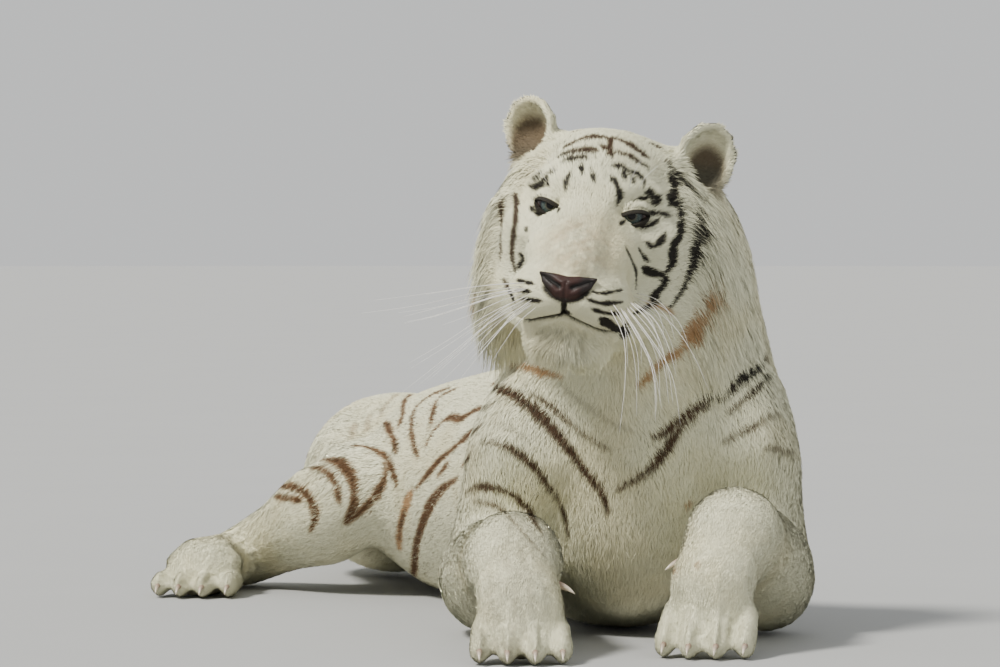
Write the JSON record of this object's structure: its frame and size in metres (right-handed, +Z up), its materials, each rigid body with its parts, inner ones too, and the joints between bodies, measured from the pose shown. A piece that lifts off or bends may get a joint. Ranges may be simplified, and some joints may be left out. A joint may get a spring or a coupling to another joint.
{
  "type": "white tiger",
  "caption": "Life-size still model of an adult white tiger lying on its front, head up and turned a little to its right, forelegs stretched out, tail curled round behind.",
  "frame": {"origin": "centre of the bounding box in plan, on the floor plane", "axes": "+Z up; -Y the way the tiger lies facing, +Y towards its tail; -X its right side"},
  "size_m": [0.9286, 1.9458, 0.7073],
  "materials": {
    "coat": "short cream-white fur with dark brown stripes, longer on the ruff and belly",
    "eye": "wet, pale blue-grey iris with a round dark pupil",
    "nose_leather": "bare, finely pebbled, slightly moist",
    "claw": "smooth horn, paler to the point"
  },
  "bodies": {
    "root": {"head": "coat", "neck": "coat", "chest": "coat", "abdomen": "coat", "pelvis": "coat", "tail_root": "coat", "tail_middle": "coat", "tail_tip": "coat", "nose": "nose_leather", "eye_right": "eye", "ear_right": "coat", "upper_arm_right": "coat", "forearm_right": "coat", "paw_right": "coat", "thigh_right": "coat", "shank_right": "coat", "foot_right": "coat", "dewclaw_right": "claw", "toe_right_fore_1": "coat", "claw_right_fore_1": "claw", "toe_right_fore_2": "coat", "claw_right_fore_2": "claw", "toe_right_fore_3": "coat", "claw_right_fore_3": "claw", "toe_right_fore_4": "coat", "claw_right_fore_4": "claw", "toe_right_hind_1": "coat", "claw_right_hind_1": "claw", "toe_right_hind_2": "coat", "claw_right_hind_2": "claw", "toe_right_hind_3": "coat", "claw_right_hind_3": "claw", "toe_right_hind_4": "coat", "claw_right_hind_4": "claw", "eye_left": "eye", "ear_left": "coat", "upper_arm_left": "coat", "forearm_left": "coat", "paw_left": "coat", "thigh_left": "coat", "shank_left": "coat", "foot_left": "coat", "dewclaw_left": "claw", "toe_left_fore_1": "coat", "claw_left_fore_1": "claw", "toe_left_fore_2": "coat", "claw_left_fore_2": "claw", "toe_left_fore_3": "coat", "claw_left_fore_3": "claw", "toe_left_fore_4": "coat", "claw_left_fore_4": "claw", "toe_left_hind_1": "coat", "claw_left_hind_1": "claw", "toe_left_hind_2": "coat", "claw_left_hind_2": "claw", "toe_left_hind_3": "coat", "claw_left_hind_3": "claw", "toe_left_hind_4": "coat", "claw_left_hind_4": "claw"}
  },
  "joints": []
}
